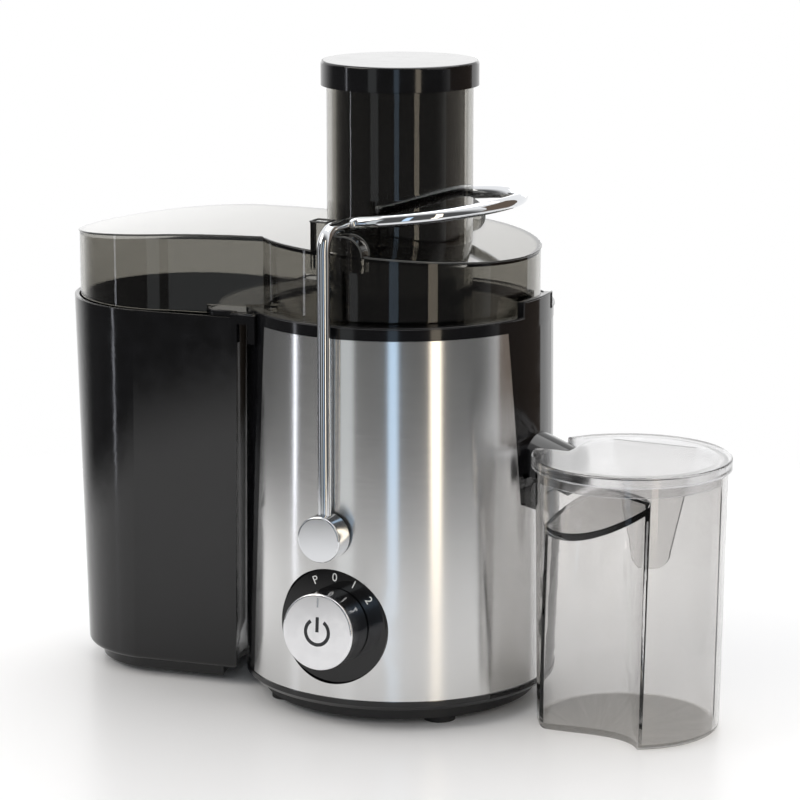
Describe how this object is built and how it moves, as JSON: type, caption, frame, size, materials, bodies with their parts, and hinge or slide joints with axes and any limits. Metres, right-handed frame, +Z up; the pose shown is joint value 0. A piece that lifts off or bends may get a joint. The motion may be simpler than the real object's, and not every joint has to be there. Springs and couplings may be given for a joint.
{
  "type": "centrifugal juicer",
  "caption": "Upright kitchen juicer with a steel-wrapped round motor housing, clear lid and feed chute, wire bail, speed dial, pulp bin at one side and juice cup at the other.",
  "frame": {"origin": "centre of the bounding box at the floor under the feet", "axes": "+X towards the juice cup, -Y towards the dial, +Z up"},
  "size_m": [0.3442, 0.1762, 0.3085],
  "materials": {
    "black_gloss": "moulded black gloss",
    "black_matte": "moulded black, fine texture",
    "steel_sheet": "vertical brushed grain",
    "mesh_steel": "bright pressed sheet",
    "plain_steel": "machined",
    "cast_alloy": "as cast",
    "copper_wire": "enamelled copper",
    "carbon": "pressed carbon",
    "rubber": "moulded",
    "chrome": "bright plate on steel",
    "plated_plastic": "bright chrome plate on plastic",
    "lid_smoke": "clear moulding with a smoke tint",
    "cup_smoke": "clear moulding with a light smoke tint"
  },
  "bodies": {
    "base": {"housing_shell": "black_gloss", "steel_wrap": "steel_sheet", "base_cover": "black_matte", "base_feet": "rubber", "base_screws": "plain_steel", "cord_bush": "rubber", "lower_bracket": "cast_alloy", "upper_bracket": "cast_alloy", "bracket_screws": "plain_steel", "lower_bearing": "plain_steel", "upper_bearing": "plain_steel", "stator_core": "plain_steel", "field_coils": "copper_wire", "tie_bolts": "plain_steel", "stator_sleeves": "plain_steel", "brush_holders": "black_matte", "carbon_brushes": "carbon", "shaft_seal": "rubber", "rotary_switch": "black_matte", "dial_bezel": "black_gloss", "pivot_pins": "plain_steel", "juice_bowl": "black_gloss", "lid": "lid_smoke"},
    "spinner": {"motor_shaft": "plain_steel", "armature_core": "plain_steel", "armature_winding": "copper_wire", "commutator": "copper_wire", "cooling_fan": "black_matte", "drive_coupling": "black_matte", "basket_hub": "black_matte", "filter_basket": "mesh_steel", "grater_disc": "mesh_steel"},
    "bail": {"bail_wire": "chrome", "pivot_caps": "chrome"},
    "pusher": {"pusher_body": "black_gloss", "pusher_cap": "black_gloss"},
    "dial": {"dial_knob": "plated_plastic", "dial_spindle": "plain_steel"},
    "bin": {"pulp_bin": "black_gloss", "bin_pads": "rubber"},
    "cup": {"juice_cup": "cup_smoke"},
    "cup_lid": {"cup_lid": "cup_smoke", "froth_separator": "cup_smoke"}
  },
  "joints": [
    {"name": "basket_spin", "type": "hinge", "parent": "base", "child": "spinner", "pos_m": [0.0009, 0.00134, 0.14], "axis": [0, 0, 1], "continuous": true},
    {"name": "bail_swing", "type": "hinge", "parent": "base", "child": "bail", "pos_m": [0.0009, 0.00134, 0.0937], "axis": [0, 1, 0], "range_deg": [0, 40]},
    {"name": "pusher_lift", "type": "slide", "parent": "base", "child": "pusher", "axis": [0, 0, 1], "range_m": [0, 0.12]},
    {"name": "dial_turn", "type": "hinge", "parent": "base", "child": "dial", "pos_m": [0.0009, -0.07008, 0.0487], "axis": [0, 0.9981, -0.061], "range_deg": [-26, 52]},
    {"name": "bin_slide", "type": "slide", "parent": "base", "child": "bin", "axis": [-1, 0, 0], "range_m": [0, 0.12]},
    {"name": "cup_slide", "type": "slide", "parent": "base", "child": "cup", "axis": [1, 0, 0], "range_m": [0, 0.1]},
    {"name": "cup_lid_lift", "type": "slide", "parent": "cup", "child": "cup_lid", "axis": [0, 0, 1], "range_m": [0, 0.015]}
  ]
}
